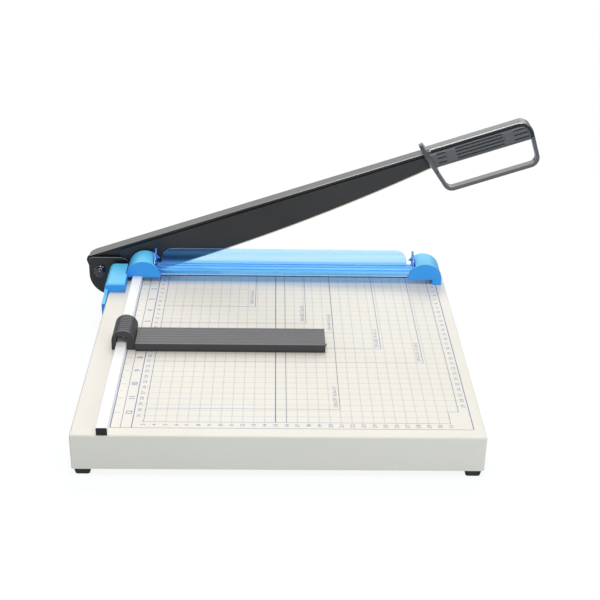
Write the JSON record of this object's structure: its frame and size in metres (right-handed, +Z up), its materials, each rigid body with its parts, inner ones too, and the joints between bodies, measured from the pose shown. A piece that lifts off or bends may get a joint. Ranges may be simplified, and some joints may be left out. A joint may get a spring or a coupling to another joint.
{
  "type": "paper cutter",
  "caption": "Lever paper cutter: folded steel table with a fence rail and sliding guide, a sprung clear clamp guard, and a hinged arm with a curved blade and looped handle.",
  "frame": {"origin": "on the desk under the middle of the table", "axes": "+X to the right along the cutting edge, +Y from the user toward the blade, +Z up"},
  "size_m": [0.5065, 0.3653, 0.2243],
  "materials": {
    "cream_enamel": "satin baked enamel",
    "black_rubber": "matte moulded",
    "zinc_steel": "zinc plated",
    "ground_steel": "ground",
    "white_plastic": "smooth extruded",
    "black_plastic": "fine moulded grain",
    "blue_plastic": "moulded gloss",
    "clear_blue_plastic": "clear tinted moulding",
    "spring_steel": "drawn wire",
    "black_enamel": "semi-gloss black",
    "black_steel": "black oxide",
    "blade_steel": "blackened with a ground edge",
    "brass_bush": "turned",
    "handle_plastic": "moulded with grooves"
  },
  "bodies": {
    "base": {"base_tray": "cream_enamel", "foot_front_left": "black_rubber", "foot_front_right": "black_rubber", "foot_back_left": "black_rubber", "foot_back_right": "black_rubber", "foot_screws": "zinc_steel", "foot_nuts": "zinc_steel", "bed_knife": "ground_steel", "knife_screws": "zinc_steel", "knife_nuts": "zinc_steel", "fence_rail": "white_plastic", "rail_end_plug": "black_plastic", "rail_screws": "zinc_steel", "left_end_cap": "blue_plastic", "right_end_cap": "blue_plastic", "cap_screws": "zinc_steel", "left_clamp_spring": "spring_steel", "right_clamp_spring": "spring_steel", "side_cover": "blue_plastic", "cover_screws": "zinc_steel", "pivot_bracket": "black_enamel", "bracket_screws": "zinc_steel", "bracket_nuts": "zinc_steel", "pivot_bolt": "black_steel", "pivot_washer": "black_steel", "pivot_lock_nut": "black_steel", "thrust_washer": "zinc_steel", "disc_spring": "spring_steel"},
    "arm": {"arm_beam": "black_enamel", "blade": "blade_steel", "blade_screws": "zinc_steel", "pivot_bush": "brass_bush", "handle": "handle_plastic", "handle_screws": "zinc_steel"},
    "clamp": {"clamp_guard": "clear_blue_plastic"},
    "guide": {"guide_slider": "black_plastic", "guide_bar": "black_plastic", "guide_screws": "zinc_steel"}
  },
  "joints": [
    {"name": "arm_hinge", "type": "hinge", "parent": "base", "child": "arm", "pos_m": [-0.2042, 0.1715, 0.0427], "axis": [0, -1, 0], "range_deg": [-19.5, 50]},
    {"name": "clamp_press", "type": "slide", "parent": "base", "child": "clamp", "axis": [0, 0, 1], "range_m": [-0.007, 0], "stiffness_N_per_m": 500, "springref_m": 0.004, "deforming": ["left_clamp_spring", "right_clamp_spring"]},
    {"name": "guide_slide", "type": "slide", "parent": "base", "child": "guide", "axis": [0, 1, 0], "range_m": [-0.149, 0.117]}
  ]
}
